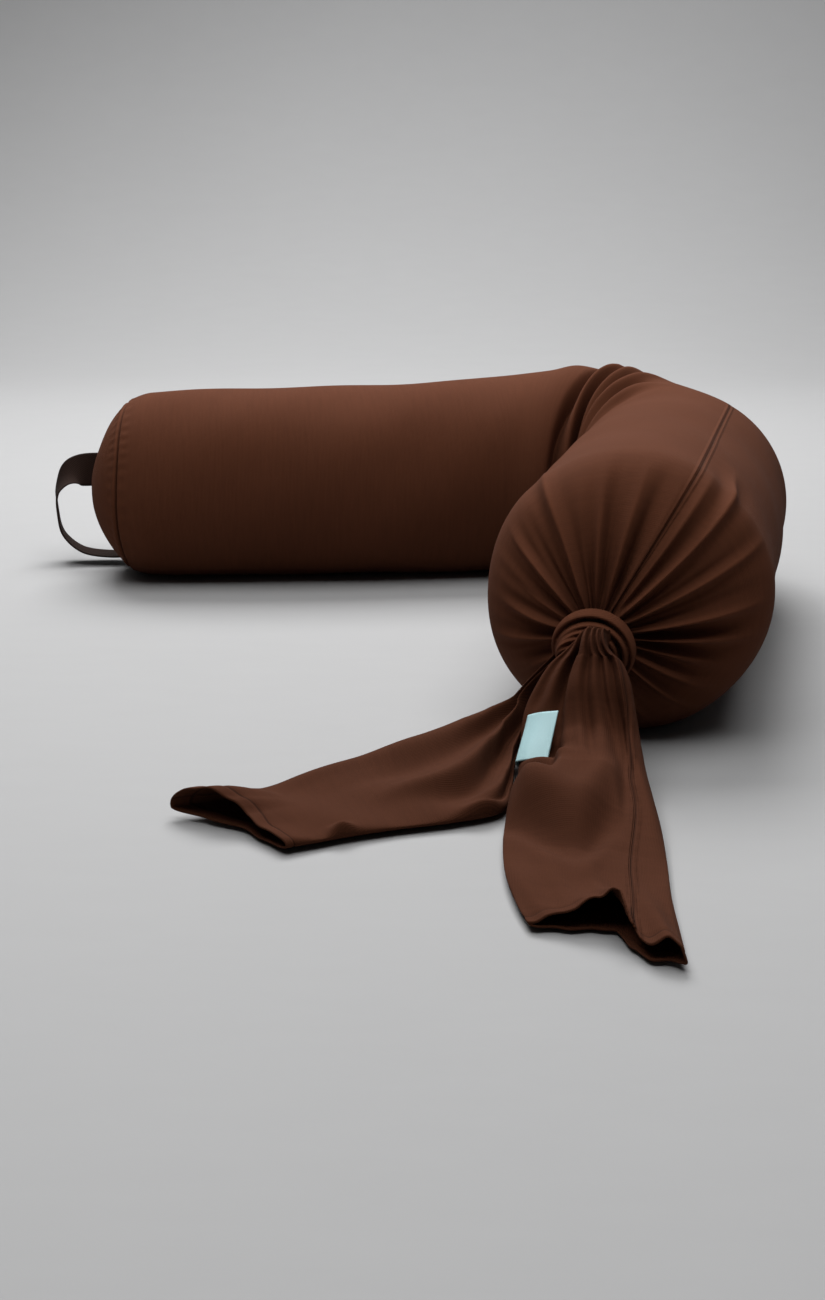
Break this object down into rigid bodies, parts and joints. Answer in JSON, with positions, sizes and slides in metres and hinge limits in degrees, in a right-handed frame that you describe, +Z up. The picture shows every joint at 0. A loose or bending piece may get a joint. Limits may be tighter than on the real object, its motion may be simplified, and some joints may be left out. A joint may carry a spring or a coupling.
{
  "type": "nursing pillow",
  "caption": "Long bead-filled bolster pillow in a stretch cover, folded into a hook, with a carrying loop at its closed end and a knotted end with tie tails.",
  "frame": {"origin": "on the floor under the middle of the pillow's spine at the fold, at the mount floor_rest", "axes": "+Z up; +Y away from the tied end; +X towards the outer side of the fold, away from the closed end"},
  "size_m": [0.8405, 1.2519, 0.2367],
  "materials": {
    "cover_jersey": "matt brown stretch cotton jersey",
    "strap_webbing": "dark brown woven webbing",
    "liner_cloth": "undyed thin woven cotton",
    "bead_fill": "loose expanded polystyrene micro beads",
    "label_tape": "pale aqua satin-woven tape"
  },
  "bodies": {
    "closed_arm": {"cover_end_panel": "cover_jersey", "cover_closed_arm": "cover_jersey", "cover_fold": "cover_jersey", "liner_closed_arm": "liner_cloth", "liner_fold": "liner_cloth", "bead_fill_closed_arm": "bead_fill", "bead_fill_fold": "bead_fill"},
    "tied_arm": {"cover_tied_arm": "cover_jersey", "cover_gathered_end": "cover_jersey", "knot_turn": "cover_jersey", "liner_tied_arm": "liner_cloth", "bead_fill_tied_arm": "bead_fill"},
    "front_tail": {"tie_tail_front": "cover_jersey"},
    "side_tail": {"tie_tail_side": "cover_jersey"},
    "label": {"care_label": "label_tape"},
    "loop": {"carrying_loop": "strap_webbing"}
  },
  "joints": [
    {"name": "fold_bend", "type": "hinge", "parent": "closed_arm", "child": "tied_arm", "pos_m": [0, 0, 0.11], "axis": [0, 0, 1], "range_deg": [-10, 90], "deforming": ["cover_fold", "liner_fold", "bead_fill_fold"]},
    {"name": "front_tail_lift", "type": "hinge", "parent": "tied_arm", "child": "front_tail", "pos_m": [-0.0902, -0.6873, 0.098], "axis": [-0.9744, 0.225, 0], "range_deg": [0, 55]},
    {"name": "side_tail_lift", "type": "hinge", "parent": "tied_arm", "child": "side_tail", "pos_m": [-0.1298, -0.6678, 0.06], "axis": [0.225, 0.9744, 0], "range_deg": [0, 40]},
    {"name": "label_flap", "type": "hinge", "parent": "front_tail", "child": "label", "pos_m": [-0.1231, -0.732, 0.0561], "axis": [0.2289, 0.6829, 0.6937], "range_deg": [0, 35]},
    {"name": "loop_swing", "type": "hinge", "parent": "closed_arm", "child": "loop", "pos_m": [-0.572, 0.091, 0.057], "axis": [0, 0.4472, 0.8944], "range_deg": [-25, 20]}
  ]
}
